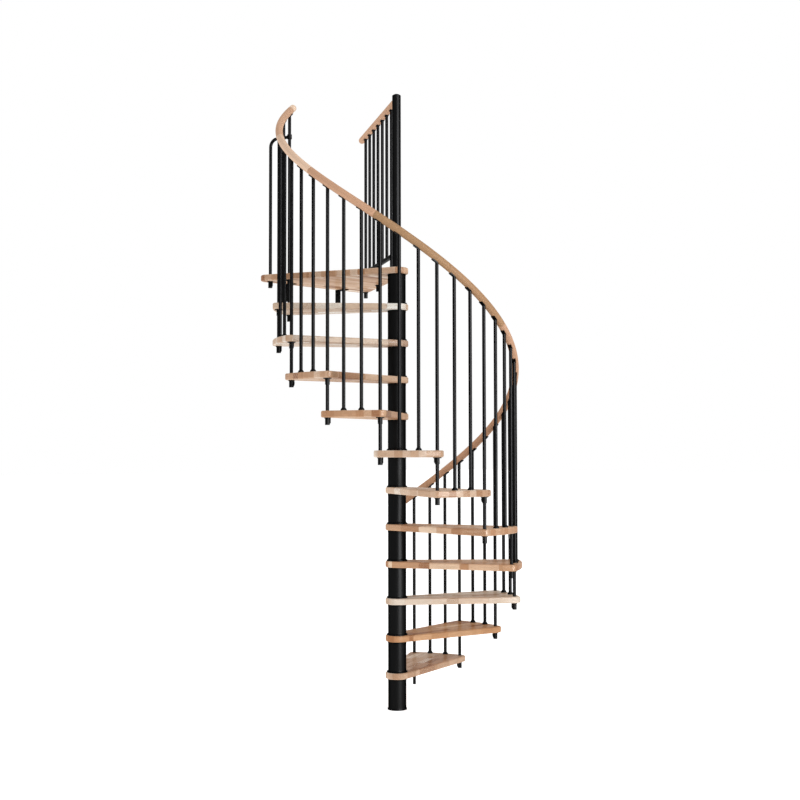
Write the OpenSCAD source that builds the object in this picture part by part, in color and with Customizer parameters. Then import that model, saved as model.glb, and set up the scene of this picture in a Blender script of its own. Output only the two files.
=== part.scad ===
// Spiral staircase kit: beech treads stacked on a round column, black balusters and a helical beech rail.
// Lengths in millimetres, angles in degrees. The origin is the centre of the column's foot on the floor,
// +Z is up, and the landing's straight exit edge faces +Y. The stair climbs clockwise, seen from above.

/* [Stair] */
// Height from one tread's top to the next
rise = 210; // [190:1:230]
// Turn from one tread to the next
tread_turn = 25.47; // [23:0.01:28]
// Radius of the circle that the balusters stand on
stair_r = 677; // [560:1:800]

/* [Treads] */
// Thickness of the treads and the landing
tread_t = 36; // [30:1:50]
// Radius of the round hub end of a tread
hub_r = 66; // [61:1:80]
// Wood around the axis of a corner baluster, which is also the corner's radius
edge_margin = 34; // [28:1:45]
// Gap between a tube and the hole that it passes through
fit_gap = 0.3; // [0.2:0.05:0.5]

/* [Column] */
// Diameter of the core tube, which is also the upper post
core_d = 50; // [42:1:58]
// Wall of the core tube
core_wall = 3; // [2:0.5:5]
// Height of the upper post above the guard rail's centre, without its cap
post_lead = 30; // [22:1:120]
// Height of the domed post cap
cap_h = 10; // [6:1:16]
// Diameter of a spacer's sleeve
spacer_d = 104; // [94:1:108]
// Wall of a spacer's sleeve
spacer_wall = 5.5; // [3:0.5:10]
// Diameter of the flared ring at a spacer's lower end
lower_ring_d = 118; // [109:1:120]
// Height of the flared ring at a spacer's lower end
lower_ring_h = 13; // [8:1:20]
// Diameter of the discs on a spacer's upper end, which set the rise
disc_d = 106; // [104:1:112]
// Thickness of one disc
disc_t = 6; // [4:0.5:10]
// Chamfer of a disc's edges
disc_chamfer = 1; // [0.5:0.5:1.5]
// Diameter of the base foot
base_d = 111; // [109:1:120]
// Thickness of the base foot
base_t = 10; // [8:1:16]
// Height of the spigot that centres the core tube on the base foot
spigot_h = 50; // [30:1:80]

/* [Balusters] */
// Diameter of a baluster
baluster_d = 19; // [14:0.5:22]
// Diameter of a short baluster's foot on the tread
foot_d = 33; // [28:1:40]
// Diameter of a short baluster's foot at its top
foot_top_d = 21; // [20:0.5:26]
// Height of a short baluster's foot
foot_h = 14; // [10:1:20]
// Height of the straight rim of a short baluster's foot
foot_rim_h = 5; // [3:0.5:8]
// Length of a long baluster below the tread that it ends in
stub_l = 36; // [28:1:50]
// Gap between the first baluster's lower end and the floor
floor_gap = 15; // [5:1:40]

/* [Handrail] */
// Diameter of the handrail
rail_d = 42; // [36:1:48]
// Height of the rail's centre over the line through the nosings, at its crest
rail_h = 1012; // [900:1:1100]
// Baluster over which the rail stands highest
rail_crest_bar = 15; // [10:1:20]
// Drop of the rail from its crest to the last baluster, measured from the nosing line
rail_bow = 36; // [0:1:60]
// Overhang of the rail before the first baluster, along its turn
rail_lead = 5.8; // [4:0.1:14]
// Overhang of the rail past the last baluster, along its turn
rail_tail = 4.9; // [3.5:0.1:12]
// Turn from the first baluster to the first glue joint of the rail
first_joint_turn = 13.2; // [9:0.1:16]
// Turn from the last baluster to the last glue joint of the rail
last_joint_turn = 1; // [0:0.1:1.5]
// Length over which a rail end is rounded
rail_end_r = 14; // [8:1:16]
// Length of the saddle plate under the rail
saddle_l = 34; // [26:1:44]
// Width of the saddle plate
saddle_w = 21; // [16:1:24]
// Thickness of the saddle plate at its middle
saddle_t = 3.5; // [2:0.5:6]

/* [Collars] */
// Diameter of a collar's flange under a tread
flange_d = 44; // [38:1:54]
// Diameter of the flange of a closed collar
end_flange_d = 33; // [30:1:44]
// Thickness of a collar's flange
flange_t = 5; // [3:0.5:8]
// Diameter of a collar's sleeve
sleeve_d = 25; // [24:0.5:30]
// Length of a collar with its flange
collar_l = 36; // [28:1:50]
// Reach of a collar's lug from the baluster's axis
lug_l = 17; // [14:0.5:20]
// Width of a collar's lug
lug_w = 13; // [8:1:18]
// Turn of the lug from the line to the column
lug_turn = 33; // [0:1:60]
// Share of a collar's length over which its lug is straight
lug_share = 0.7; // [0.3:0.05:0.8]
// How far the lug's chamfer ends inside the sleeve
lug_inset = 4; // [2:0.5:6]
// Floor of the closed collar at a baluster's lower end
collar_floor = 3; // [2:0.5:5]

/* [Landing] */
// Angle from the landing's middle line to each of its baluster lines
landing_half_angle = 28.5; // [26:0.1:36]
// Distance of the straight exit edge from the column's axis
exit_edge_y = 785; // [760:1:900]
// Radius of the two corners at the exit edge
exit_corner_r = 56; // [40:1:80]
// Distance of the guard's first upright from the column's axis
guard_first_l = 128; // [110:1:140]
// Spacing of the guard's uprights
guard_spacing = 118; // [100:1:119]
// Height of the guard rail's centre over the landing
guard_h = 975; // [900:1:980]
// Reach of the guard rail past its last upright
guard_rail_tail = 130; // [60:1:180]
// Thickness of the guard's square bottom rail
bottom_rail_t = 20; // [19:1:26]
// Height of the bottom rail's top over the landing
bottom_rail_h = 97; // [60:1:130]
// Height of the corner hoop over the landing
hoop_h = 822; // [600:1:860]
// Bend radius of the corner hoop, at the tube's axis
hoop_bend_r = 46; // [36:1:75]
// Outer diameter of the hoop's clamp on the last baluster
clamp_d = 28; // [25:1:34]
// Height of the hoop's clamp
clamp_h = 26; // [22:1:40]
// Clear height between the hoop's clamp and the saddle plate over it
clamp_clearance = 60; // [30:1:90]

/* [Landing brackets] */
// Width of a bracket
bracket_w = 40; // [36:1:60]
// Thickness of a bracket's legs
bracket_t = 5; // [4:0.5:8]
// Length of the leg under the landing
bracket_reach = 85; // [60:1:120]
// Length of the leg that hangs down at the exit edge
bracket_drop = 105; // [90:1:140]
// Distance of each bracket from the landing's middle line
bracket_x = 207; // [120:1:260]
// Diameter of the bolt holes in the hanging leg
bolt_hole_d = 9; // [7:0.5:11]
// Spacing of the two bolt holes in a hanging leg
bolt_spacing = 50; // [40:1:60]

/* [Hidden] */
$fn = 64;
tread_count = 11;
bars_per_tread = 3;
last_bar = tread_count * bars_per_tread;
bar_turn = tread_turn / bars_per_tread;
bar_rise = rise / bars_per_tread;
rail_r = rail_d / 2;
rail_seat = rail_r + saddle_t + saddle_l / 2;
clamp_room_h = hoop_h + clamp_h / 2 + clamp_clearance;
baluster_r = baluster_d / 2;
bore_r = baluster_r + fit_gap;
outer_r = stair_r + edge_margin;
landing_z = (tread_count + 1) * rise;
landing_under_z = landing_z - tread_t;
spacer_l = rise - tread_t;
bar_arc = stair_r * bar_turn * PI / 180;
rail_sides = 16;
rings_per_bar = 3;
end_rings = 4;
arc_step = 6;
cove_steps = 4;
disc_count = 2;
joint_count = 9;
guard_uprights = 7;
guard_leg_every = 3;
guard_last = guard_first_l + (guard_uprights - 1) * guard_spacing;
guard_turn = 90 - landing_half_angle;
guard_rail_end = guard_last + guard_rail_tail;
guard_rail_z = landing_z + guard_h;
post_top_z = guard_rail_z + post_lead;
bottom_rail_z = landing_z + bottom_rail_h - bottom_rail_t / 2;
overlap = 1;

beech = [0.85, 0.68, 0.51];
black_steel = [0.10, 0.10, 0.11];
black_plastic = [0.13, 0.13, 0.14];

// Name of a numbered piece, such as tread_03
function numbered(name, n) = str(name, n < 10 ? "_0" : "_", n);

// Azimuth of baluster k, where 0 is the first baluster and a fraction lies between two balusters
function bar_azimuth(k) = 90 + landing_half_angle + (last_bar - k) * bar_turn;

// Height of the rail's centre over baluster k: a helix that bows down towards both ends
function rail_z(k) = rise + rail_h + k * bar_rise - bow_at(k) * rail_place(k) ^ 2;

// Bow on either side of the rail's crest: towards the landing it leaves the hoop's clamp its room
function bow_at(k) = k < rail_crest_bar ? rail_bow : min(rail_bow, rail_h - rail_seat - clamp_room_h);

// Place of baluster k from the rail's crest, in shares of the way to the last baluster
function rail_place(k) = (k - rail_crest_bar) / (last_bar - rail_crest_bar);

// Tilt of the rail over baluster k
function rail_slope(k) =
    atan((bar_rise - 2 * bow_at(k) * rail_place(k) / (last_bar - rail_crest_bar)) / bar_arc);

// Points of an arc around a centre, no more than arc_step apart
function arc(centre, r, from, to) =
    let (count = ceil(abs(to - from) / arc_step))
    [for (i = [0:count]) let (a = from + (to - from) * i / count) centre + r * [cos(a), sin(a)]];

// Points of a hollow quarter round between a ring and a sleeve
function cove(centre, r, from, to) =
    [for (i = [0:cove_steps]) let (a = from + (to - from) * i / cove_steps) centre + r * [cos(a), sin(a)]];

// Angle between a baluster line and the edge's normal, for an edge tangent to the hub and a margin circle
function edge_normal_turn() = acos((hub_r - edge_margin) / stair_r);

// Point at a radius and an azimuth
function polar(r, a) = r * [cos(a), sin(a)];

// Where the landing's left corner circle lies: tangent to its side and to the exit edge
function exit_corner() =
    let (
        normal = landing_half_angle + edge_normal_turn(),
        y = exit_edge_y - exit_corner_r,
        x = (hub_r - exit_corner_r - y * cos(normal)) / sin(normal)
    )
    [-x, y];

// Places its children at baluster k, with +X pointing outwards and +Y down the stair
module at_bar(k) {
    rotate(bar_azimuth(k)) translate([stair_r, 0, 0]) children();
}

// Places its children at a distance along the landing guard, with +X pointing outwards
module at_guard(r) {
    rotate(guard_turn) translate([r, 0, 0]) children();
}

// Outline of a tread with its middle line along +X
module tread_outline() {
    half = tread_turn / 2;
    normal = half + edge_normal_turn();
    polygon(concat(
        arc([0, 0], hub_r, normal, 360 - normal),
        arc(polar(stair_r, -half), edge_margin, -normal, -half),
        arc([0, 0], outer_r, -half, half),
        arc(polar(stair_r, half), edge_margin, half, normal)
    ));
}

// Outline of the landing with its exit edge towards +Y
module landing_outline() {
    normal = landing_half_angle + edge_normal_turn();
    corner = exit_corner();
    mirrored = [-corner.x, corner.y];
    polygon(concat(
        arc([0, 0], hub_r, 90 + normal, 450 - normal),
        arc(mirrored, exit_corner_r, 90 - normal, 90),
        arc(corner, exit_corner_r, 90, 90 + normal)
    ));
}

// Bores for the core tube and the tubes at the given points through a board
module board(holes) {
    difference() {
        linear_extrude(tread_t) children();
        translate([0, 0, -overlap]) cylinder(r = core_d / 2 + fit_gap, h = tread_t + 2 * overlap);
        for (p = holes) translate([p.x, p.y, -overlap]) cylinder(r = bore_r, h = tread_t + 2 * overlap);
    }
}

module base_foot() {
    spigot_r = core_d / 2 - core_wall - fit_gap;
    flare = (base_d - spacer_d) / 2;
    color(black_steel) rotate_extrude() polygon(concat(
        [[0, 0], [base_d / 2, 0]],
        cove([base_d / 2, base_t], flare, 180, 270),
        [[spigot_r, base_t], [spigot_r, base_t + spigot_h], [0, base_t + spigot_h]]
    ));
}

module core_tube() {
    color(black_steel) translate([0, 0, base_t]) difference() {
        cylinder(d = core_d, h = post_top_z - base_t);
        translate([0, 0, -overlap]) cylinder(d = core_d - 2 * core_wall, h = post_top_z + overlap);
    }
}

module post_cap() {
    dome_r = ((core_d / 2) ^ 2 + cap_h ^ 2) / (2 * cap_h);
    color(black_plastic) translate([0, 0, post_top_z]) intersection() {
        translate([0, 0, cap_h - dome_r]) sphere(r = dome_r, $fn = 96);
        cylinder(d = core_d, h = cap_h + overlap);
    }
}

// Chamfered edge of a disc, from above the foot of its lower chamfer
function disc_edge(z) = [
    [disc_d / 2, z + disc_chamfer],
    [disc_d / 2, z + disc_t - disc_chamfer],
    [disc_d / 2 - disc_chamfer, z + disc_t]
];

// Sleeve of the column: discs lie on its upper end, and its lower end flares to a ring where asked
module spacer(length, lower_ring) {
    inner_r = spacer_d / 2 - spacer_wall;
    lower_flare = (lower_ring_d - spacer_d) / 2;
    lower_end = lower_ring
        ? concat([[lower_ring_d / 2, 0]], cove([lower_ring_d / 2, lower_ring_h], lower_flare, 270, 180))
        : [[spacer_d / 2, 0]];
    sleeve_l = length - disc_count * disc_t;
    discs = [for (i = [0:disc_count - 1]) each disc_edge(sleeve_l + i * disc_t)];
    rotate_extrude() polygon(concat(
        [[inner_r, 0]],
        lower_end,
        [[spacer_d / 2, sleeve_l]],
        discs,
        [[inner_r, length]]
    ));
}

module column_spacers() {
    color(black_plastic) {
        translate([0, 0, base_t]) spacer(spacer_l - base_t, false);
        for (n = [1:tread_count]) translate([0, 0, n * rise]) spacer(spacer_l, true);
    }
}

module tread(n) {
    half = tread_turn / 2;
    corners = [polar(stair_r, half), polar(stair_r, -half)];
    azimuth = bar_azimuth((n - 0.5) * bars_per_tread);
    color(beech) translate([0, 0, n * rise - tread_t]) rotate(azimuth) board(corners) tread_outline();
}

module landing() {
    nosing = polar(stair_r, bar_azimuth(last_bar));
    leg_radii = [for (i = [0:guard_leg_every:guard_uprights - 1]) guard_first_l + i * guard_spacing];
    guard_legs = [for (r = leg_radii) polar(r, guard_turn)];
    color(beech) translate([0, 0, landing_under_z])
        board(concat([nosing, exit_corner()], guard_legs)) landing_outline();
}

// Cuts a tube's end and its saddle plate to the round of the rail, in the tilt of the rail
module seated_under_rail(z, slope, from) {
    dip = rail_r - sqrt((rail_r + fit_gap) ^ 2 - (saddle_w / 2) ^ 2);
    translate([0, 0, z]) difference() {
        union() {
            translate([0, 0, from - z]) cylinder(r = baluster_r, h = z - from);
            rotate([-slope, 0, 0]) translate([-saddle_w / 2, -saddle_l / 2, -rail_r - saddle_t])
                cube([saddle_w, saddle_l, saddle_t + dip]);
        }
        rotate([90 - slope, 0, 0]) cylinder(r = rail_r + fit_gap, h = 4 * rail_d, center = true);
    }
}

// Foot of a short baluster: a low rim that tapers to the tube
module baluster_foot() {
    rotate_extrude() polygon([
        [0, 0],
        [foot_d / 2, 0],
        [foot_d / 2, foot_rim_h],
        [foot_top_d / 2, foot_h],
        [0, foot_h]
    ]);
}

module short_baluster(k, tread_z) {
    at_bar(k) {
        translate([0, 0, tread_z]) baluster_foot();
        seated_under_rail(rail_z(k), rail_slope(k), tread_z);
    }
}

module long_baluster(k, from) {
    at_bar(k) seated_under_rail(rail_z(k), rail_slope(k), from);
}

// The first baluster passes through the first tread and ends just over the floor
module first_baluster() {
    color(black_steel) long_baluster(0, floor_gap);
}

// The two short balusters of a tread and the long one at its rear corner
module balusters(n) {
    tread_z = n * rise;
    first = (n - 1) * bars_per_tread;
    color(black_steel) {
        for (i = [1:bars_per_tread - 1]) short_baluster(first + i, tread_z);
        long_baluster(first + bars_per_tread, tread_z - tread_t - stub_l);
    }
}

// One ring of rail points around baluster place k, moved ahead along the rail
function rail_ring(k, r, ahead) =
    let (
        a = bar_azimuth(k),
        slope = rail_slope(k),
        outwards = [cos(a), sin(a), 0],
        level = [sin(a), -cos(a), 0],
        along = cos(slope) * level + [0, 0, sin(slope)],
        upwards = [0, 0, cos(slope)] - sin(slope) * level,
        centre = stair_r * outwards + [0, 0, rail_z(k)] + ahead * along
    )
    [for (i = [0:rail_sides - 1])
        let (turn = 360 * (i + 0.5) / rail_sides)
        centre + r * (cos(turn) * outwards + sin(turn) * upwards)];

// Rings that round a rail end: side -1 at the lower end, 1 at the upper end
function end_ring(k, side, i) =
    let (a = 90 * i / (end_rings + 1))
    rail_ring(k, rail_r - rail_end_r * (1 - cos(a)), side * rail_end_r * (sin(a) - 1));

// Places between two balusters where a length of rail gets its rings
function rail_places(from, to) =
    let (count = ceil((to - from) * rings_per_bar))
    [for (i = [0:count]) from + (to - from) * i / count];

// Closed skin over a row of rings with the same number of points
module ring_skin(rings) {
    sides = len(rings[0]);
    last = (len(rings) - 1) * sides;
    walls = [for (j = [0:len(rings) - 2], i = [0:sides - 1])
        let (a = j * sides + i, b = j * sides + (i + 1) % sides)
        each [[a, b + sides, b], [a, a + sides, b + sides]]];
    first_end = [[for (i = [0:sides - 1]) i]];
    last_end = [[for (i = [sides - 1:-1:0]) last + i]];
    polyhedron([for (ring = rings) each ring], concat(first_end, walls, last_end), convexity = 4);
}

// One glued length of the rail, between its joints, with the rounding of a free end
module handrail(n) {
    first_joint = first_joint_turn / bar_turn;
    last_joint = last_bar + last_joint_turn / bar_turn;
    joint_step = (last_joint - first_joint) / (joint_count - 1);
    lower_end = -rail_lead / bar_turn;
    upper_end = last_bar + rail_tail / bar_turn;
    round_k = rail_end_r / bar_arc;
    is_first = n == 1;
    is_last = n == joint_count + 1;
    from = is_first ? lower_end + round_k : first_joint + (n - 2) * joint_step;
    to = is_last ? upper_end - round_k : first_joint + (n - 1) * joint_step;
    lower_rings = is_first ? [for (i = [end_rings:-1:1]) end_ring(lower_end, -1, i)] : [];
    upper_rings = is_last ? [for (i = [1:end_rings]) end_ring(upper_end, 1, i)] : [];
    middle_rings = [for (k = rail_places(from, to)) rail_ring(k, rail_r, 0)];
    color(beech) ring_skin(concat(lower_rings, middle_rings, upper_rings));
}

// Flange, sleeve and chamfered lug under a board, with its top at z = 0 and its lug along +X
module collar(closed) {
    rim_d = closed ? end_flange_d : flange_d;
    length = closed ? stub_l + fit_gap + collar_floor : collar_l;
    bore_l = closed ? stub_l + fit_gap : length + overlap;
    lug_foot = sleeve_d / 2 - lug_inset;
    chamfer_z = -length * lug_share;
    difference() {
        union() {
            translate([0, 0, -flange_t]) cylinder(d = rim_d, h = flange_t);
            translate([0, 0, -length]) cylinder(d = sleeve_d, h = length);
            translate([0, lug_w / 2, 0]) rotate([90, 0, 0]) linear_extrude(lug_w)
                polygon([[0, 0], [lug_l, 0], [lug_l, chamfer_z], [lug_foot, -length], [0, -length]]);
        }
        translate([0, 0, -bore_l]) cylinder(r = bore_r, h = bore_l + overlap);
    }
}

module tread_collars() {
    color(black_plastic) {
        for (n = [1:tread_count])
            at_bar(n * bars_per_tread) translate([0, 0, n * rise - tread_t])
                rotate(180 - lug_turn) collar(true);
        for (n = [0:tread_count])
            at_bar(n * bars_per_tread) translate([0, 0, (n + 1) * rise - tread_t])
                rotate(180 + lug_turn) collar(false);
        translate([exit_corner().x, exit_corner().y, landing_under_z]) rotate(-90) collar(true);
        for (i = [0:guard_leg_every:guard_uprights - 1])
            at_guard(guard_first_l + i * guard_spacing) translate([0, 0, landing_under_z])
                rotate(180 - lug_turn) collar(true);
    }
}

// Uprights and bottom rail of the guard on the landing's open side
module landing_guard() {
    leg_foot_z = landing_under_z - stub_l;
    color(black_steel) {
        for (i = [0:guard_uprights - 1])
            at_guard(guard_first_l + i * guard_spacing) rotate(90)
                seated_under_rail(guard_rail_z, 0, i % guard_leg_every == 0 ? leg_foot_z : bottom_rail_z);
        at_guard(guard_first_l) translate([0, -bottom_rail_t / 2, bottom_rail_z - bottom_rail_t / 2])
            cube([guard_last - guard_first_l, bottom_rail_t, bottom_rail_t]);
    }
}

// Straight rail from the upper post, with a rounded free end
module landing_rail() {
    color(beech) difference() {
        at_guard(0) translate([0, 0, guard_rail_z]) rotate([0, 90, 0]) rotate_extrude() polygon(concat(
            [[0, 0], [rail_r, 0]],
            arc([rail_r - rail_end_r, guard_rail_end - rail_end_r], rail_end_r, 0, 90),
            [[0, guard_rail_end]]
        ));
        translate([0, 0, guard_rail_z - rail_d]) cylinder(r = core_d / 2 + fit_gap, h = 2 * rail_d);
    }
}

// Bent tube from the landing's outer corner to a clamp on the last baluster
module corner_hoop() {
    foot = exit_corner();
    bar = polar(stair_r, bar_azimuth(last_bar));
    reach = norm(bar - foot);
    heading = atan2(bar.y - foot.y, bar.x - foot.x);
    leg_from = landing_under_z - stub_l;
    leg_to = landing_z + hoop_h - hoop_bend_r;
    color(black_steel) translate([foot.x, foot.y, 0]) rotate(heading) difference() {
        union() {
            translate([0, 0, leg_from]) cylinder(r = baluster_r, h = leg_to - leg_from);
            translate([hoop_bend_r, 0, leg_to]) rotate([90, 0, 0]) rotate([0, 0, 90])
                rotate_extrude(angle = 90) translate([hoop_bend_r, 0]) circle(r = baluster_r);
            translate([hoop_bend_r, 0, leg_to + hoop_bend_r]) rotate([0, 90, 0])
                cylinder(r = baluster_r, h = reach - hoop_bend_r);
            translate([reach, 0, leg_to + hoop_bend_r - clamp_h / 2]) cylinder(d = clamp_d, h = clamp_h);
        }
        translate([reach, 0, leg_to]) cylinder(r = bore_r, h = 2 * hoop_bend_r + clamp_h);
    }
}

// Angle under the exit edge, with two bolt holes through its hanging leg
module bracket(x) {
    hole_z = landing_under_z - bracket_t - (bracket_drop - bracket_t) / 2;
    color(black_steel) difference() {
        translate([x - bracket_w / 2, exit_edge_y, landing_under_z]) union() {
            translate([0, -bracket_reach, -bracket_t]) cube([bracket_w, bracket_reach, bracket_t]);
            translate([0, -bracket_t, -bracket_drop]) cube([bracket_w, bracket_t, bracket_drop]);
        }
        for (side = [-1, 1])
            translate([x, exit_edge_y + overlap, hole_z + side * bolt_spacing / 2]) rotate([90, 0, 0])
                cylinder(d = bolt_hole_d, h = bracket_t + 2 * overlap);
    }
}

module landing_bracket_left() {
    bracket(-bracket_x);
}

module landing_bracket_right() {
    bracket(bracket_x);
}

base_foot();
core_tube();
post_cap();
column_spacers();
for (n = [1:tread_count]) tread(n);
landing();
first_baluster();
for (n = [1:tread_count]) balusters(n);
for (n = [1:joint_count + 1]) handrail(n);
tread_collars();
landing_guard();
landing_rail();
corner_hoop();
landing_bracket_left();
landing_bracket_right();
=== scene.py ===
"""Looks of a spiral staircase kit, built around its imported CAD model.

Lengths are metres and angles radians, in the frame of the CAD model: the column stands on the origin,
+Z is up, the landing's exit edge faces +Y, and the stair climbs clockwise, seen from above.
"""

import math
import random

import bpy
from mathutils import Matrix, Vector
from mathutils.geometry import tessellate_polygon


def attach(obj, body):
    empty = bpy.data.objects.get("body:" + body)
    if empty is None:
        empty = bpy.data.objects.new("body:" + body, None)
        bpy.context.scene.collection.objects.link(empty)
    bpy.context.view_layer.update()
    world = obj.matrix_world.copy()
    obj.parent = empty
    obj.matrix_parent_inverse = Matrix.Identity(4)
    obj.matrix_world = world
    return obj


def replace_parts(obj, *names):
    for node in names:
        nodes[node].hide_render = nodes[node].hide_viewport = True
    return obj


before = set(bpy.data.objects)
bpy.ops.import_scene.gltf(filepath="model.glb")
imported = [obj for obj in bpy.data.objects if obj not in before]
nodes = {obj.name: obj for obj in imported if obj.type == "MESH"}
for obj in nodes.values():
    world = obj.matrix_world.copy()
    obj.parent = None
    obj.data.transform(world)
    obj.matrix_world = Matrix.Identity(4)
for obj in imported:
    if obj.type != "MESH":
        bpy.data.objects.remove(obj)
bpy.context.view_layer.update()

# Stair and column
RISE = 0.210
TREAD_COUNT = 11
BARS_PER_TREAD = 3
LAST_BAR = TREAD_COUNT * BARS_PER_TREAD
TREAD_TURN = math.radians(25.47)
BAR_TURN = TREAD_TURN / BARS_PER_TREAD
STAIR_R = 0.677
CORE_R = 0.025
FIT_GAP = 0.0003

# Boards
TREAD_T = 0.036
HUB_R = 0.066
EDGE_MARGIN = 0.034
EDGE_ROUND = 0.008
EDGE_STEPS = 7
ARC_STEP = math.radians(4)
SAME_POINT = 1e-6
HOLE_SIDES = 32
LANDING_HALF = math.radians(28.5)
LANDING_Z = (TREAD_COUNT + 1) * RISE
EXIT_Y = 0.785
EXIT_R = 0.056

# Balusters and rails
BAR_R = 0.0095
BAR_ARC = STAIR_R * BAR_TURN
RAIL_R = 0.021
RAIL_H = 1.012
RAIL_CREST = 15
RAIL_BOW = 0.036
RAIL_LEAD = math.radians(5.8)
RAIL_TAIL = math.radians(4.9)
FIRST_JOINT = math.radians(13.2)
LAST_JOINT = math.radians(1.0)
JOINT_COUNT = 9
RAIL_END_R = 0.014
RAIL_SIDES = 40
RAIL_RING_STEP = 0.012
JOINT_CHAMFER = 0.0005
END_STEPS = 8

# Landing guard
GUARD_TURN = math.pi / 2 - LANDING_HALF
GUARD_FIRST = 0.128
GUARD_STEP = 0.118
GUARD_COUNT = 7
GUARD_LEG_EVERY = 3
GUARD_RAIL_PAST = 0.130
GUARD_RAIL_END = GUARD_FIRST + (GUARD_COUNT - 1) * GUARD_STEP + GUARD_RAIL_PAST
GUARD_H = 0.975
GUARD_RAIL_Z = LANDING_Z + GUARD_H
GUARD_RAIL_WHOLE = 0.04

# What the screws hold
LANDING_UNDER = LANDING_Z - TREAD_T
SADDLE_T = 0.0035
LUG_REACH = 0.017
LUG_TURN = math.radians(33)
HOOP_H = 0.822
HOOP_Z = LANDING_Z + HOOP_H
CLAMP_R = 0.014
BRACKET_X = 0.207
BRACKET_T = 0.005
BRACKET_HOLE_DROP = 0.055
BRACKET_HOLE_Z = LANDING_UNDER - BRACKET_HOLE_DROP
BRACKET_HOLE_STEP = 0.050

# Every board takes its own place in the grain
GRAIN_SEED = 11
GRAIN_SHIFT = 9
rng = random.Random(GRAIN_SEED)


# Places on the stair


def bar_azimuth(k):
    """Azimuth of baluster k, where 0 is the first one and a fraction lies between two."""
    return math.pi / 2 + LANDING_HALF + (LAST_BAR - k) * BAR_TURN


def rail_place(k):
    """Place of baluster k from the rail's crest, in shares of the way to the last baluster."""
    return (k - RAIL_CREST) / (LAST_BAR - RAIL_CREST)


def rail_z(k):
    """Height of the rail's centre over baluster k."""
    return RISE + RAIL_H + k * RISE / BARS_PER_TREAD - RAIL_BOW * rail_place(k) ** 2


def rail_slope(k):
    """Tilt of the rail over baluster k."""
    rise = RISE / BARS_PER_TREAD - 2 * RAIL_BOW * rail_place(k) / (LAST_BAR - RAIL_CREST)
    return math.atan(rise / BAR_ARC)


def rail_frame(k):
    """Centre of the rail over baluster k, and its outward, upward and climbing directions."""
    a, slope = bar_azimuth(k), rail_slope(k)
    out = Vector((math.cos(a), math.sin(a), 0))
    level = Vector((math.sin(a), -math.cos(a), 0))
    along = level * math.cos(slope) + Vector((0, 0, math.sin(slope)))
    up = Vector((0, 0, math.cos(slope))) - level * math.sin(slope)
    return out * STAIR_R + Vector((0, 0, rail_z(k))), out, up, along


def polar(r, a):
    """Point on the ground at a radius and an azimuth."""
    return Vector((r * math.cos(a), r * math.sin(a)))


def level_heading(a):
    """Level direction at an azimuth."""
    return Vector((*polar(1, a), 0))


def turns(count):
    """Angles of points that stand evenly around a circle."""
    return [2 * math.pi * i / count for i in range(count)]


def edge_normal_turn():
    """Angle between a baluster line and the normal of a board's side edge."""
    return math.acos((HUB_R - EDGE_MARGIN) / STAIR_R)


def exit_corner():
    """Centre of the landing's left corner at the exit edge."""
    normal = LANDING_HALF + edge_normal_turn()
    y = EXIT_Y - EXIT_R
    return Vector(((y * math.cos(normal) + EXIT_R - HUB_R) / math.sin(normal), y))


# Mesh helpers


def new_piece(name, verts, faces, material, attributes=None):
    """A smooth mesh object that rides on the stair, with named per-point values for its material."""
    mesh = bpy.data.meshes.new(name)
    mesh.from_pydata([tuple(v) for v in verts], [], faces)
    for key, values in (attributes or {}).items():
        if isinstance(values[0], (int, float)):
            mesh.attributes.new(key, "FLOAT", "POINT").data.foreach_set("value", values)
        else:
            flat = [c for v in values for c in v]
            mesh.attributes.new(key, "FLOAT_VECTOR", "POINT").data.foreach_set("vector", flat)
    mesh.polygons.foreach_set("use_smooth", [True] * len(mesh.polygons))
    mesh.materials.append(material)
    mesh.update()
    piece = bpy.data.objects.new(name, mesh)
    bpy.context.scene.collection.objects.link(piece)
    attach(piece, "root")
    return piece


def wall_faces(start, count, sides):
    """Faces between rings of points that follow each other."""
    faces = []
    for j in range(count - 1):
        for i in range(sides):
            a, b = start + j * sides + i, start + j * sides + (i + 1) % sides
            faces.append((a, b, b + sides, a + sides))
    return faces


def ring_faces(start, count, sides):
    """Faces over rings of points that follow each other, with flat ends."""
    last = start + (count - 1) * sides
    ends = [tuple(reversed(range(start, start + sides))), tuple(range(last, last + sides))]
    return ends + wall_faces(start, count, sides)


def arc(centre, r, start, end):
    """Points of an arc with their outward normals."""
    count = max(1, math.ceil(abs(end - start) / ARC_STEP))
    points = []
    for i in range(count + 1):
        normal = polar(1, start + (end - start) * i / count)
        points.append((centre + r * normal, normal))
    return points


def joined(arcs):
    """One closed outline from arcs that meet or are joined by straight edges."""
    outline = []
    for part in arcs:
        for point in part:
            if not outline or (point[0] - outline[-1][0]).length > SAME_POINT:
                outline.append(point)
    return outline


def tread_outline():
    """Outline of a tread that points along +X: hub, two rounded corners and the curved outer edge."""
    half = TREAD_TURN / 2
    normal = half + edge_normal_turn()
    return joined(
        [
            arc(Vector((0, 0)), HUB_R, normal, 2 * math.pi - normal),
            arc(polar(STAIR_R, -half), EDGE_MARGIN, -normal, -half),
            arc(Vector((0, 0)), STAIR_R + EDGE_MARGIN, -half, half),
            arc(polar(STAIR_R, half), EDGE_MARGIN, half, normal),
        ]
    )


def landing_outline():
    """Outline of the landing: hub, and two rounded corners with the straight exit edge between them."""
    normal = LANDING_HALF + edge_normal_turn()
    quarter = math.pi / 2
    left = exit_corner()
    right = Vector((-left.x, left.y))
    return joined(
        [
            arc(Vector((0, 0)), HUB_R, quarter + normal, 5 * quarter - normal),
            arc(right, EXIT_R, quarter - normal, quarter),
            arc(left, EXIT_R, quarter, quarter + normal),
        ]
    )


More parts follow.
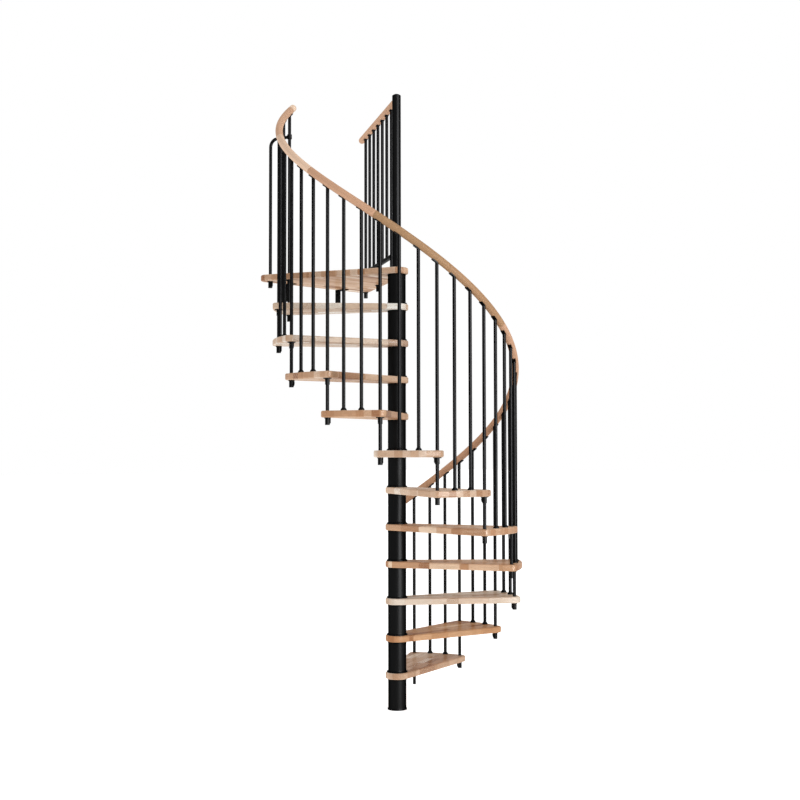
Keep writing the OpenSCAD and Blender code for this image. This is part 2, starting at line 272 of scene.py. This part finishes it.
def board_rings():
    """Inset and height of each ring of a board's rounded edge, from below to above."""
    rings = []
    for i in range(EDGE_STEPS + 1):
        a = math.pi / 2 * i / EDGE_STEPS
        rings.append((EDGE_ROUND * (1 - math.sin(a)), EDGE_ROUND * (1 - math.cos(a))))
    for i in range(EDGE_STEPS + 1):
        a = math.pi / 2 * i / EDGE_STEPS
        rings.append((EDGE_ROUND * (1 - math.cos(a)), TREAD_T - EDGE_ROUND * (1 - math.sin(a))))
    return rings


def board(name, outline, holes, turn, top_z, shade):
    """A rounded board with bored holes, whose grain runs along its own X axis before it is turned."""
    count = len(outline)
    rings = board_rings()
    local = []
    for inset, z in rings:
        local += [Vector((*(p - n * inset), z)) for p, n in outline]
    faces = wall_faces(0, len(rings), count)
    under = [list(range(count))]
    over = [list(range((len(rings) - 1) * count, len(rings) * count))]
    for x, y, r in holes:
        low = len(local)
        high = low + HOLE_SIDES
        rim = [Vector((x, y)) + polar(r, a) for a in turns(HOLE_SIDES)]
        local += [Vector((*p, z)) for z in (0, TREAD_T) for p in rim]
        under.append(list(range(low, high)))
        over.append(list(range(high, high + HOLE_SIDES)))
        for i in range(HOLE_SIDES):
            a, b = low + i, low + (i + 1) % HOLE_SIDES
            faces.append((b, a, a + HOLE_SIDES, b + HOLE_SIDES))
    for parts, is_top in ((under, False), (over, True)):
        flat = [v for part in parts for v in part]
        for triangle in tessellate_polygon([[local[v] for v in part] for part in parts]):
            corners = [flat[i] for i in triangle]
            u, v = local[corners[1]] - local[corners[0]], local[corners[2]] - local[corners[0]]
            upward = u.cross(v).z > 0
            faces.append(tuple(corners if upward == is_top else reversed(corners)))
    place = Matrix.Translation((0, 0, top_z - TREAD_T)) @ Matrix.Rotation(turn, 4, "Z")
    shift = Vector((rng.uniform(0, GRAIN_SHIFT), rng.uniform(0, GRAIN_SHIFT), 0))
    values = {
        "grain": [v + shift for v in local],
        "batch": [rng.random()] * len(local),
        "along": [level_heading(turn)] * len(local),
        # Each board's tone multiplier: partly its own tone, partly painted shade and painted light
        "tone_and_painted_shade": [Vector([1 + shade * share for share in SHADE_TINT])] * len(local),
    }
    piece = new_piece(name, [place @ v for v in local], faces, board_beech, values)
    normals = piece.modifiers.new("normals", "WEIGHTED_NORMAL")
    normals.keep_sharp = True
    return piece


def rail_skin(name, rings, grain, tone):
    """A closed rail over rings of points."""
    verts = [v for ring in rings for v in ring]
    faces = ring_faces(0, len(rings), len(rings[0]))
    values = {"grain": grain, "batch": [tone] * len(verts)}
    return new_piece(name, verts, faces, rail_beech, values)


# Materials


class Shader:
    """A material whose nodes are added by short calls, most of which return an output socket."""

    def __init__(self, owner):
        if isinstance(owner, str):
            owner = bpy.data.materials.new(owner)
            owner.use_nodes = True
        self.material = owner
        self.tree = owner.node_tree
        self.surface = next((n for n in self.tree.nodes if n.type == "BSDF_PRINCIPLED"), None)

    def put(self, socket, value):
        """Link a socket to a value that is an output, or set it to a plain value."""
        if isinstance(value, bpy.types.NodeSocket):
            self.tree.links.new(value, socket)
        else:
            socket.default_value = value

    def node(self, kind, inputs=None, output=0, **settings):
        made = self.tree.nodes.new(kind)
        for key, value in settings.items():
            setattr(made, key, value)
        for key, value in (inputs or {}).items():
            self.put(made.inputs[key], value)
        return made.outputs[output]

    def attribute(self, name, output="Vector"):
        return self.node("ShaderNodeAttribute", output=output, attribute_name=name)

    def math(self, operation, *values):
        return self.node("ShaderNodeMath", dict(enumerate(values)), operation=operation)

    def vector(self, operation, *values):
        return self.node("ShaderNodeVectorMath", dict(enumerate(values)), operation=operation)

    def dot(self, a, b):
        return self.node("ShaderNodeVectorMath", {0: a, 1: b}, "Value", operation="DOT_PRODUCT")

    def split(self, vector):
        made = self.tree.nodes.new("ShaderNodeSeparateXYZ")
        self.put(made.inputs[0], vector)
        return made.outputs

    def join(self, x, y, z):
        return self.node("ShaderNodeCombineXYZ", {0: x, 1: y, 2: z})

    def random(self, number):
        return self.node("ShaderNodeTexWhiteNoise", {"W": number}, noise_dimensions="1D")

    def noise(self, vector, scale=1.0, detail=2.0, roughness=0.5):
        inputs = {"Vector": vector, "Scale": scale, "Detail": detail, "Roughness": roughness}
        return self.node("ShaderNodeTexNoise", inputs)

    def ramp(self, factor, stops):
        made = self.tree.nodes.new("ShaderNodeValToRGB")
        elements = made.color_ramp.elements
        while len(elements) < len(stops):
            elements.new(0.5)
        for element, (position, colour) in zip(elements, stops):
            element.position = position
            element.color = (*colour, 1)
        self.put(made.inputs[0], factor)
        return made.outputs[0]

    def span(self, value, low, high, to_low, to_high):
        """A value between two limits, moved to lie between two others."""
        inputs = {0: value, 1: low, 2: high, 3: to_low, 4: to_high}
        return self.node("ShaderNodeMapRange", inputs)

    def blend(self, kind, factor, a, b):
        made = self.tree.nodes.new("ShaderNodeMix")
        made.data_type = "RGBA"
        made.blend_type = kind
        made.clamp_result = True
        self.put(made.inputs["Factor"], factor)
        self.put(made.inputs[6], a)
        self.put(made.inputs[7], b)
        return made.outputs[2]

    def grey(self, value):
        return self.node("ShaderNodeCombineColor", {0: value, 1: value, 2: value})

    def bump(self, height, distance):
        inputs = {"Height": height, "Distance": distance, "Strength": 1.0}
        return self.node("ShaderNodeBump", inputs)

    def set(self, **sockets):
        for key, value in sockets.items():
            self.put(self.surface.inputs[key.replace("_", " ")], value)


def srgb(red, green, blue):
    """Linear colour from eight-bit values as they are seen on a screen."""

    def linear(c):
        c /= 255
        return c / 12.92 if c <= 0.04045 else ((c + 0.055) / 1.055) ** 2.4

    return (linear(red), linear(green), linear(blue))


# Tones of the staves in a board, and of the rail lengths, whose palest lengths also carry painted light
BEECH_TONES = [
    (0.00, srgb(157, 115, 87)),
    (0.18, srgb(181, 142, 111)),
    (0.38, srgb(200, 165, 135)),
    (0.60, srgb(212, 183, 157)),
    (0.78, srgb(198, 160, 129)),
    (0.92, srgb(225, 203, 181)),
    (1.00, srgb(236, 220, 202)),
]
RAIL_STOPS = [
    (0.0, srgb(165, 131, 98)),
    (0.4, srgb(189, 146, 117)),
    (0.7, srgb(208, 170, 142)),
    (1.0, srgb(236, 210, 186)),
]
# Each rail length's tone: partly its own, partly a painted highlight on the palest lengths
RAIL_TONES_AND_PAINTED_LIGHT = (0.32, 0.40, 0.42, 0.52, 0.08, 0.02, 0.50, 0.84, 0.62, 0.94)
LANDING_RAIL_TONE = 0.62

# Overall tone of each board, paler above zero and darker below: partly the board's own tone, partly
# painted shade and painted light for how light falls on particular boards
TREAD_TONES_AND_PAINTED_SHADE = (0.10, -0.60, 0.80, -0.30, -0.20, 0.20, 0.65, -0.25, 0.0, 0.65, 0.75)
LANDING_SHADE = 0.0
SHADE_TINT = (0.13, 0.40, 0.68)

# Staves, and end grain darkened further as painted shade
STAVE_W = 0.042
STAVE_L = 0.17
STAVE_SCATTER = (7.0, 7.0, 7.0)
GLUE_LIMITS = (0.0002, 0.0008)
GLUE_SHARE = 0.14
GLUE_COLOUR = (*srgb(140, 92, 60), 1)
# The board ends are darker as end grain, and darker still as painted shade on the hub ends
END_GRAIN_AND_SHADE_LIMITS = (0.5, 0.95)
END_GRAIN_AND_SHADE_TINT = (0.79, 0.69, 0.62, 1)

# Grain: stretches are noise cells per metre along and across it
MIDDLE = (0.3, 0.7)
BROAD_STRETCH = (2.2, 34.0, 34.0)
BROAD_SHADES = (0.91, 1.07)
STREAK_STRETCH = (7.0, 210.0, 210.0)
STREAK_SHADES = (0.93, 1.05)
STREAK_RELIEF = 0.6
FLECK_STRETCH = (210.0, 1300.0, 1300.0)
FLECK_LIMITS = (0.62, 0.74)
FLECK_SHARE = 0.32
FLECK_COLOUR = (*srgb(150, 98, 62), 1)
FLECK_RELIEF = 0.35
WOOD_ROUGHNESS = (0.40, 0.52)
WOOD_RELIEF = 0.00002


def stave_pattern(s, grain, batch):
    """Key of the stave at a point, and the strength of the glue line there."""
    x, y, _ = s.split(grain)
    rows = s.math("DIVIDE", y, STAVE_W)
    row = s.math("FLOOR", rows)
    place = s.math("DIVIDE", s.math("ADD", x, s.random(row)), STAVE_L)
    key = s.join(row, s.math("FLOOR", place), batch)
    across = s.math("MULTIPLY", s.math("PINGPONG", rows, 0.5), STAVE_W)
    endways = s.math("MULTIPLY", s.math("PINGPONG", place, 0.5), STAVE_L)
    return key, s.span(s.math("MINIMUM", across, endways), *GLUE_LIMITS, 1.0, 0.0)


def beech(name, staves, coat, coat_roughness):
    """Lacquered beech. Boards are glued from staves of varied tone, and a rail length has one tone."""
    s = Shader(name)
    grain = s.attribute("grain")
    batch = s.attribute("batch", "Fac")
    if staves:
        key, glue = stave_pattern(s, grain, batch)
    else:
        key = s.join(batch, 0.0, 0.0)
    stave = s.tree.nodes.new("ShaderNodeTexWhiteNoise")
    stave.noise_dimensions = "3D"
    s.put(stave.inputs["Vector"], key)
    tone = s.ramp(stave.outputs["Value"], BEECH_TONES) if staves else s.ramp(batch, RAIL_STOPS)
    own = s.vector("ADD", grain, s.vector("MULTIPLY", stave.outputs["Color"], STAVE_SCATTER))
    broad = s.noise(s.vector("MULTIPLY", own, BROAD_STRETCH))
    streak = s.noise(s.vector("MULTIPLY", own, STREAK_STRETCH), detail=3.0, roughness=0.6)
    fleck = s.noise(s.vector("MULTIPLY", own, FLECK_STRETCH), detail=1.0)
    dashes = s.span(fleck, *FLECK_LIMITS, 0.0, 1.0)
    colour = s.blend("MULTIPLY", 1.0, tone, s.grey(s.span(broad, *MIDDLE, *BROAD_SHADES)))
    colour = s.blend("MULTIPLY", 1.0, colour, s.grey(s.span(streak, *MIDDLE, *STREAK_SHADES)))
    colour = s.blend("MIX", s.math("MULTIPLY", dashes, FLECK_SHARE), colour, FLECK_COLOUR)
    if staves:
        colour = s.blend("MIX", s.math("MULTIPLY", glue, GLUE_SHARE), colour, GLUE_COLOUR)
        normal = s.node("ShaderNodeTexCoord", output="Normal")
        facing = s.math("ABSOLUTE", s.dot(normal, s.attribute("along")))
        # Darker board ends: end grain, deepened by painted shade
        end_grain_and_shade = s.span(facing, *END_GRAIN_AND_SHADE_LIMITS, 0.0, 1.0)
        colour = s.blend("MULTIPLY", end_grain_and_shade, colour, END_GRAIN_AND_SHADE_TINT)
        # Each board's overall tone: partly its own, partly painted shade and painted light
        colour = s.blend("MULTIPLY", 1.0, colour, s.attribute("tone_and_painted_shade"))
    raised = s.math("MULTIPLY", streak, STREAK_RELIEF)
    height = s.math("SUBTRACT", raised, s.math("MULTIPLY", dashes, FLECK_RELIEF))
    s.set(
        Base_Color=colour,
        Roughness=s.span(broad, *MIDDLE, *WOOD_ROUGHNESS),
        Specular_IOR_Level=0.0,
        Coat_Weight=coat,
        Coat_Roughness=coat_roughness,
        Normal=s.bump(height, WOOD_RELIEF),
    )
    return s.material


# Black finishes
SATIN_EDGE = (0.35, 0.35, 0.35, 1)
SATIN_ROUGHNESS = (0.33, 0.39)
SATIN_RELIEF = 0.000008
COAT_STOPS = [(0.25, (0.0062, 0.0062, 0.0064)), (0.75, (0.0074, 0.0074, 0.0077))]
COAT_PATCH_SCALE = 9.0
COAT_PEEL_SCALE = 620.0
PLASTIC_STOPS = [(0.2, (0.0062, 0.0063, 0.0064)), (0.8, (0.0074, 0.0075, 0.0076))]
PLASTIC_LIMITS = (0.2, 0.8)
PLASTIC_FLOW_STRETCH = (60.0, 60.0, 5.0)
PLASTIC_FLOW_RELIEF = 0.6
PLASTIC_GRAIN_SCALE = 900.0
PLASTIC_NODES = ("column_spacers", "post_cap", "tread_collars")


def satin_black(s, colour, roughness, height):
    """What the black finishes share."""
    s.set(
        Base_Color=colour,
        Roughness=roughness,
        Metallic=1.0,
        Specular_Tint=SATIN_EDGE,
        Normal=s.bump(height, SATIN_RELIEF),
    )
    return s.material


def powder_coat():
    """Satin black powder coat on steel, with its fine orange peel."""
    s = Shader("black_powder_coat")
    where = s.node("ShaderNodeTexCoord", output="Object")
    patch = s.noise(where, COAT_PATCH_SCALE, detail=3.0)
    peel = s.noise(where, COAT_PEEL_SCALE)
    return satin_black(s, s.ramp(patch, COAT_STOPS), s.span(patch, *MIDDLE, *SATIN_ROUGHNESS), peel)


def moulded_plastic():
    """Satin black moulded plastic: each spacer of the column has its own slight shade."""
    s = Shader("black_moulded_plastic")
    where = s.node("ShaderNodeTexCoord", output="Object")
    _, _, z = s.split(where)
    part = s.random(s.math("FLOOR", s.math("DIVIDE", z, RISE)))
    flow = s.noise(s.vector("MULTIPLY", where, PLASTIC_FLOW_STRETCH), detail=3.0)
    texture = s.noise(where, PLASTIC_GRAIN_SCALE, detail=1.0)
    shade = s.math("ADD", s.math("MULTIPLY", part, 0.5), s.math("MULTIPLY", flow, 0.5))
    roughness = s.span(shade, *PLASTIC_LIMITS, *SATIN_ROUGHNESS)
    height = s.math("ADD", texture, s.math("MULTIPLY", flow, PLASTIC_FLOW_RELIEF))
    return satin_black(s, s.ramp(shade, PLASTIC_STOPS), roughness, height)


board_beech = beech("beech_boards", staves=True, coat=0.22, coat_roughness=0.25)
rail_beech = beech("beech_rail", staves=False, coat=0.05, coat_roughness=0.30)
black_coat = powder_coat()
black_plastic = moulded_plastic()

# Treads and landing

half_turn = TREAD_TURN / 2
bore = BAR_R + FIT_GAP
core_hole = (0.0, 0.0, CORE_R + FIT_GAP)
tread_holes = [core_hole] + [(*polar(STAIR_R, side * half_turn), bore) for side in (1, -1)]
for n in range(1, TREAD_COUNT + 1):
    azimuth = bar_azimuth((n - 0.5) * BARS_PER_TREAD)
    shade = TREAD_TONES_AND_PAINTED_SHADE[n - 1]
    piece = board(f"tread_board_{n:02d}", tread_outline(), tread_holes, azimuth, n * RISE, shade)
    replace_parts(piece, f"tread_{n:02d}")

landing_holes = [core_hole, (*polar(STAIR_R, bar_azimuth(LAST_BAR)), bore), (*exit_corner(), bore)]
for i in range(0, GUARD_COUNT, GUARD_LEG_EVERY):
    landing_holes.append((*polar(GUARD_FIRST + i * GUARD_STEP, GUARD_TURN), bore))
piece = board("landing_board", landing_outline(), landing_holes, 0.0, LANDING_Z, LANDING_SHADE)
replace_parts(piece, "landing")

# Handrail


def rail_ring(k, r, ahead):
    """Ring of points around the helical rail, a little ahead of baluster k."""
    centre, out, up, along = rail_frame(k)
    centre = centre + along * ahead
    return [centre + (out * math.cos(a) + up * math.sin(a)) * r for a in turns(RAIL_SIDES)]


def rail_grain(distance, r):
    """Places in the grain of the points of a ring."""
    return [Vector((distance, r * math.cos(a), r * math.sin(a))) for a in turns(RAIL_SIDES)]


def rounded_end(i):
    """Radius and reach of ring i of a rounded free end, where ring 0 still has the rail's full radius."""
    a = math.pi / 2 * i / END_STEPS
    return RAIL_R - RAIL_END_R * (1 - math.cos(a)), RAIL_END_R * math.sin(a)


def rail_length(n):
    """One glued length of the helical rail, with a fine chamfer at its joints or a rounded free end."""
    first_joint = FIRST_JOINT / BAR_TURN
    joint_step = (LAST_BAR + LAST_JOINT / BAR_TURN - first_joint) / (JOINT_COUNT - 1)
    lower_end = -RAIL_LEAD / BAR_TURN
    upper_end = LAST_BAR + RAIL_TAIL / BAR_TURN
    rounding = RAIL_END_R / BAR_ARC
    is_first, is_last = n == 1, n == JOINT_COUNT + 1
    start = lower_end + rounding if is_first else first_joint + (n - 2) * joint_step
    end = upper_end - rounding if is_last else first_joint + (n - 1) * joint_step
    ring_k = BAR_ARC / math.cos(rail_slope((start + end) / 2))
    count = math.ceil((end - start) * ring_k / RAIL_RING_STEP)
    specs = []
    if is_first:
        for i in range(END_STEPS, 0, -1):
            r, reach = rounded_end(i)
            specs.append((lower_end, r, RAIL_END_R - reach))
    else:
        specs.append((start, RAIL_R - JOINT_CHAMFER, 0.0))
    for i in range(count + 1):
        inset = 0.0
        if i == 0 and not is_first:
            inset = JOINT_CHAMFER
        elif i == count and not is_last:
            inset = -JOINT_CHAMFER
        specs.append((start + (end - start) * i / count, RAIL_R, inset))
    if is_last:
        for i in range(1, END_STEPS + 1):
            r, reach = rounded_end(i)
            specs.append((upper_end, r, reach - RAIL_END_R))
    else:
        specs.append((end, RAIL_R - JOINT_CHAMFER, 0.0))
    rings = [rail_ring(*spec) for spec in specs]
    grain = [v for k, r, ahead in specs for v in rail_grain(k * ring_k + ahead, r)]
    return rail_skin(f"rail_length_{n:02d}", rings, grain, RAIL_TONES_AND_PAINTED_LIGHT[n - 1])


for n in range(1, JOINT_COUNT + 2):
    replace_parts(rail_length(n), f"handrail_{n:02d}")


def straight_rail():
    """The landing's rail, coped to the post at one end and rounded at the other."""
    out = level_heading(GUARD_TURN)
    side = Vector((-out.y, out.x, 0))
    cope = CORE_R + FIT_GAP
    end = GUARD_RAIL_END - RAIL_END_R
    straight = end - GUARD_RAIL_WHOLE
    count = math.ceil(straight / RAIL_RING_STEP)
    specs = [(None, RAIL_R)]
    specs += [(GUARD_RAIL_WHOLE + straight * i / count, RAIL_R) for i in range(count + 1)]
    for i in range(1, END_STEPS + 1):
        r, reach = rounded_end(i)
        specs.append((end + reach, r))
    rings, grain = [], []
    for distance, r in specs:
        ring = []
        for a in turns(RAIL_SIDES):
            across, height = r * math.cos(a), r * math.sin(a)
            reach = math.sqrt(cope**2 - across**2) if distance is None else distance
            ring.append(out * reach + side * across + Vector((0, 0, GUARD_RAIL_Z + height)))
            grain.append(Vector((reach, across, height)))
        rings.append(ring)
    return rail_skin("landing_rail_length", rings, grain, LANDING_RAIL_TONE)


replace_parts(straight_rail(), "landing_rail")

# Screws and bolts: profiles are shares of a head's radius and height

SCREW_SIDES = 18
SCREW_CREASE = math.radians(35)
BUTTON_PROFILE = ((1.0, 0.0), (1.0, 0.45), (0.86, 0.8), (0.62, 1.0))
SOCKET_PROFILE = ((0.5, 1.0), (0.5, 0.5))
BOLT_BEVEL = 0.85
SADDLE_SCREW_REACH = 0.0146
LUG_SCREW_DROP = 0.016
CLAMP_SCREW_SINK = 0.0005
BRACKET_SCREW_REACHES = (0.030, 0.065)
DOWN = Vector((0, 0, -1))
INWARD = Vector((0, -1, 0))


def hexagon_share(a):
    """Reach of a hexagon at an angle, in shares of the radius to its corners."""
    return math.cos(math.pi / 6) / math.cos(a % (math.pi / 3) - math.pi / 6)


def socket_head(r, h):
    """Rings of a button head with a hexagon socket: radius, height and whether the ring is a hexagon."""
    button = [(x * r, z * h, False) for x, z in BUTTON_PROFILE]
    return button + [(x * r, z * h, True) for x, z in SOCKET_PROFILE]


def bolt_head(r, h, washer_r, washer_t, shank_r, shank_l):
    """Rings of a hexagon bolt with its washer, and its shank below zero."""
    shank = [(shank_r, -shank_l, False), (shank_r, 0.0, False)]
    washer = [(washer_r, 0.0, False), (washer_r, washer_t, False)]
    head = [(r, washer_t, True), (r, washer_t + BOLT_BEVEL * h, True)]
    return shank + washer + head + [(BOLT_BEVEL * r, washer_t + h, False)]


def fasteners(name, rings, seats):
    """One piece with a fastener on each seat, which is a point and the direction of the head."""
    verts, faces = [], []
    for origin, heading in seats:
        turn = heading.to_track_quat("Z", "Y")
        faces += ring_faces(len(verts), len(rings), SCREW_SIDES)
        for r, z, is_hexagon in rings:
            for a in turns(SCREW_SIDES):
                reach = r * hexagon_share(a) if is_hexagon else r
                verts.append(origin + turn @ Vector((*polar(reach, a), z)))
    piece = new_piece(name, verts, faces, black_coat)
    piece.data.set_sharp_from_angle(angle=SCREW_CREASE)


def saddle_seats():
    """Two screws beside each baluster, up through its saddle plate into the rail."""
    seats = []
    depth = RAIL_R + SADDLE_T
    for side in (SADDLE_SCREW_REACH, -SADDLE_SCREW_REACH):
        for k in range(LAST_BAR + 1):
            centre, _, up, along = rail_frame(k)
            seats.append((centre - up * depth + along * side, -up))
        for i in range(GUARD_COUNT):
            place = level_heading(GUARD_TURN) * (GUARD_FIRST + i * GUARD_STEP + side)
            seats.append((place + Vector((0, 0, GUARD_RAIL_Z - depth)), DOWN))
    return seats


def lug_seats():
    """One screw on the end of each collar's lug."""
    collars = []
    for n in range(TREAD_COUNT + 1):
        a = bar_azimuth(n * BARS_PER_TREAD)
        place = polar(STAIR_R, a)
        collars.append((place, (n + 1) * RISE - TREAD_T, a + math.pi + LUG_TURN))
        if n > 0:
            collars.append((place, n * RISE - TREAD_T, a + math.pi - LUG_TURN))
    collars.append((exit_corner(), LANDING_UNDER, -math.pi / 2))
    for i in range(0, GUARD_COUNT, GUARD_LEG_EVERY):
        place = polar(GUARD_FIRST + i * GUARD_STEP, GUARD_TURN)
        collars.append((place, LANDING_UNDER, GUARD_TURN + math.pi - LUG_TURN))
    seats = []
    for place, under, a in collars:
        heading = level_heading(a)
        seats.append((Vector((*place, under - LUG_SCREW_DROP)) + heading * LUG_REACH, heading))
    return seats


def clamp_seat():
    """The screw on the hoop's clamp, on the side away from the hoop."""
    bar = polar(STAIR_R, bar_azimuth(LAST_BAR))
    heading = Vector((*(bar - exit_corner()).normalized(), 0))
    return Vector((*bar, HOOP_Z)) + heading * (CLAMP_R - CLAMP_SCREW_SINK), heading


bolt_seats, wood_screw_seats = [], []
for x in (-BRACKET_X, BRACKET_X):
    for side in (-0.5, 0.5):
        z = BRACKET_HOLE_Z + side * BRACKET_HOLE_STEP
        bolt_seats.append((Vector((x, EXIT_Y - BRACKET_T, z)), INWARD))
    for reach in BRACKET_SCREW_REACHES:
        wood_screw_seats.append((Vector((x, EXIT_Y - reach, LANDING_UNDER - BRACKET_T)), DOWN))

bracket_bolt = bolt_head(
    r=0.0075, h=0.0053, washer_r=0.0088, washer_t=0.0016, shank_r=0.004, shank_l=BRACKET_T
)
fasteners("saddle_screws", socket_head(r=0.0022, h=0.0014), saddle_seats())
fasteners("collar_screws", socket_head(r=0.0036, h=0.0018), lug_seats())
fasteners("clamp_screw", socket_head(r=0.0036, h=0.0024), [clamp_seat()])
fasteners("bracket_screws", socket_head(r=0.0055, h=0.0028), wood_screw_seats)
fasteners("bracket_bolts", bracket_bolt, bolt_seats)

# Materials of the CAD pieces

for name, node in nodes.items():
    for place in node.material_slots:
        place.material = black_plastic if name in PLASTIC_NODES else black_coat

# Floor and light: levels at which the world and the floor light the part, and as which they are seen

SEEN_LEVEL = 1.0
BRIGHT_LEVEL = 1.20
SHADED_LEVEL = 0.36
ZENITH_LEVEL = 0.62
BRIGHT_LIMITS = (-0.2, 1.0)
ZENITH_LIMITS = (0.0, 0.8)
FLOOR_HALF = 60.0
FLOOR_GLOW = 0.70
FLOOR_BOUNCE = 0.48
FLOOR_TONE = 0.86
FLOOR_ROUGHNESS = 0.9
FLOOR_SPECULAR = 0.1
CAMERA_AZIMUTH = math.radians(-132.25)
BRIGHT_TURN = math.radians(-80)
KEY_AZIMUTH = math.radians(-94)
TOP_AZIMUTH = math.radians(-70)
FILL_AZIMUTH = math.radians(124)


def level_by_ray(s, lit, seen):
    """Light level for rays that light the part, and for rays that see the backdrop.

    The camera sees it, and so do mirrored rays and rays through glass.
    """
    path = s.tree.nodes.new("ShaderNodeLightPath")
    passed_on = s.math("MAXIMUM", path.outputs["Is Glossy Ray"], path.outputs["Is Transmission Ray"])
    sees = s.math("MAXIMUM", path.outputs["Is Camera Ray"], passed_on)
    return s.span(sees, 0.0, 1.0, lit, seen)


def softbox(name, azimuth, distance, height, size, power, aim_z, gloss_only=False):
    """A rectangular lamp that stands at an azimuth and looks at the column."""
    lamp = bpy.data.lights.new(name, "AREA")
    lamp.shape = "RECTANGLE"
    lamp.size, lamp.size_y = size
    lamp.energy = power
    place = bpy.data.objects.new(name, lamp)
    place.location = (*polar(distance, azimuth), height)
    towards = Vector((0, 0, aim_z)) - place.location
    place.rotation_euler = towards.to_track_quat("-Z", "Y").to_euler()
    place.visible_camera = False
    place.visible_diffuse = not gloss_only
    scene.collection.objects.link(place)


scene = bpy.context.scene
scene.view_settings.view_transform = "Standard"

world = bpy.data.worlds.new("studio")
scene.world = world
world.use_nodes = True
sky = Shader(world)
direction = sky.node("ShaderNodeTexCoord")
_, _, climb = sky.split(direction)
to_bright = sky.dot(direction, level_heading(CAMERA_AZIMUTH + BRIGHT_TURN))
horizon = sky.span(to_bright, *BRIGHT_LIMITS, SHADED_LEVEL, BRIGHT_LEVEL)
sky_level = sky.span(climb, *ZENITH_LIMITS, horizon, ZENITH_LEVEL)
background = next(n for n in world.node_tree.nodes if n.type == "BACKGROUND")
background.inputs["Color"].default_value = (1, 1, 1, 1)
sky.put(background.inputs["Strength"], level_by_ray(sky, sky_level, SEEN_LEVEL))

floor_mesh = bpy.data.meshes.new("floor")
floor_corners = [(x * FLOOR_HALF, y * FLOOR_HALF, 0.0) for x, y in ((-1, -1), (1, -1), (1, 1), (-1, 1))]
floor_mesh.from_pydata(floor_corners, [], [(0, 1, 2, 3)])
floor = bpy.data.objects.new("floor", floor_mesh)
scene.collection.objects.link(floor)
floor_shader = Shader("floor_white")
floor_shader.set(
    Base_Color=(FLOOR_TONE, FLOOR_TONE, FLOOR_TONE, 1),
    Roughness=FLOOR_ROUGHNESS,
    Specular_IOR_Level=FLOOR_SPECULAR,
    Emission_Color=(1, 1, 1, 1),
    Emission_Strength=level_by_ray(floor_shader, FLOOR_BOUNCE, FLOOR_GLOW),
)
floor_mesh.materials.append(floor_shader.material)

softbox("key", KEY_AZIMUTH, distance=5.2, height=2.5, size=(3.2, 5.0), power=77.0, aim_z=2.3)
# The sheen lamp shows in gloss alone: it gives the satin black its soft highlight and lights no colour.
softbox(
    "sheen",
    KEY_AZIMUTH,
    distance=5.4,
    height=2.5,
    size=(3.2, 5.0),
    power=1050.0,
    aim_z=2.3,
    gloss_only=True,
)
softbox("top", TOP_AZIMUTH, distance=3.2, height=6.2, size=(3.0, 3.0), power=80.0, aim_z=1.6)
softbox("fill", FILL_AZIMUTH, distance=5.5, height=1.0, size=(2.2, 2.6), power=32.0, aim_z=1.2)

# Camera

CAMERA_DISTANCE = 7.1062
CAMERA_HEIGHT = 1.47697
CAMERA_PITCH = math.radians(2.271)
CAMERA_ROLL = math.radians(0.079)
SENSOR = 36.0
IMAGE_WIDTH = 800.0
FOCAL_PIXELS = 1238.0
AXIS_COLUMN = 396.876

camera_data = bpy.data.cameras.new("camera")
camera_data.sensor_width = SENSOR
camera_data.lens = FOCAL_PIXELS / IMAGE_WIDTH * SENSOR
camera_data.shift_x = 0.5 - AXIS_COLUMN / IMAGE_WIDTH
camera = bpy.data.objects.new("camera", camera_data)
eye = Matrix.Translation((*polar(CAMERA_DISTANCE, CAMERA_AZIMUTH), CAMERA_HEIGHT))
heading = Matrix.Rotation(CAMERA_AZIMUTH + math.pi / 2, 4, "Z")
pitch = Matrix.Rotation(math.pi / 2 + CAMERA_PITCH, 4, "X")
roll = Matrix.Rotation(-CAMERA_ROLL, 4, "Z")
camera.matrix_world = eye @ heading @ pitch @ roll
scene.collection.objects.link(camera)
scene.camera = camera
